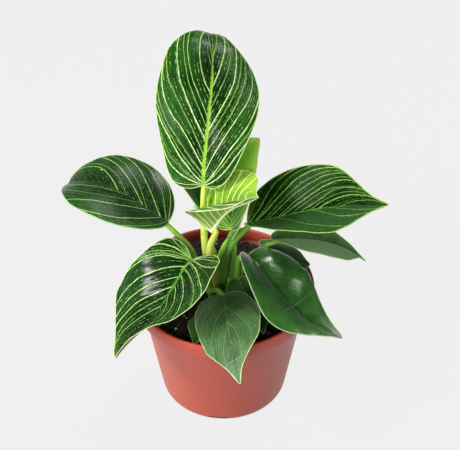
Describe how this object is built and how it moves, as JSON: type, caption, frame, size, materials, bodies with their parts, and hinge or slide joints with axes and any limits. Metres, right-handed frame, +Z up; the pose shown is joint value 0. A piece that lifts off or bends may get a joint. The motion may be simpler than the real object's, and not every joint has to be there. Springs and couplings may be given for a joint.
{
  "type": "potted philodendron",
  "caption": "Young foliage plant with broad pinstriped leaves on thick stalks, rooted in soil in a tapered terracotta-coloured plastic nursery pot.",
  "frame": {"origin": "centre of the pot's underside, on the surface it stands on", "axes": "+Z up along the pot's axis, -Y towards the viewer of the picture, +X to the viewer's right"},
  "size_m": [0.2107, 0.183, 0.2307],
  "materials": {
    "terracotta plastic": "satin moulded plastic",
    "potting soil": "moist peat mix",
    "stalk green": "smooth waxy",
    "leaf dark green": "glossy waxy",
    "leaf light green": "satin waxy"
  },
  "bodies": {
    "root": {"pot": "terracotta plastic", "soil": "potting soil", "stalks": "stalk green", "leaf_tall": "leaf dark green", "leaf_left": "leaf dark green", "leaf_front_left": "leaf dark green", "leaf_front": "leaf dark green", "leaf_front_right": "leaf dark green", "leaf_right": "leaf dark green", "leaf_right_low": "leaf dark green", "leaf_right_under": "leaf dark green", "leaf_unfolding": "leaf light green", "leaf_upright": "leaf light green", "leaf_behind": "leaf dark green", "leaf_small_left": "leaf dark green", "leaf_small_right": "leaf dark green"}
  },
  "joints": []
}
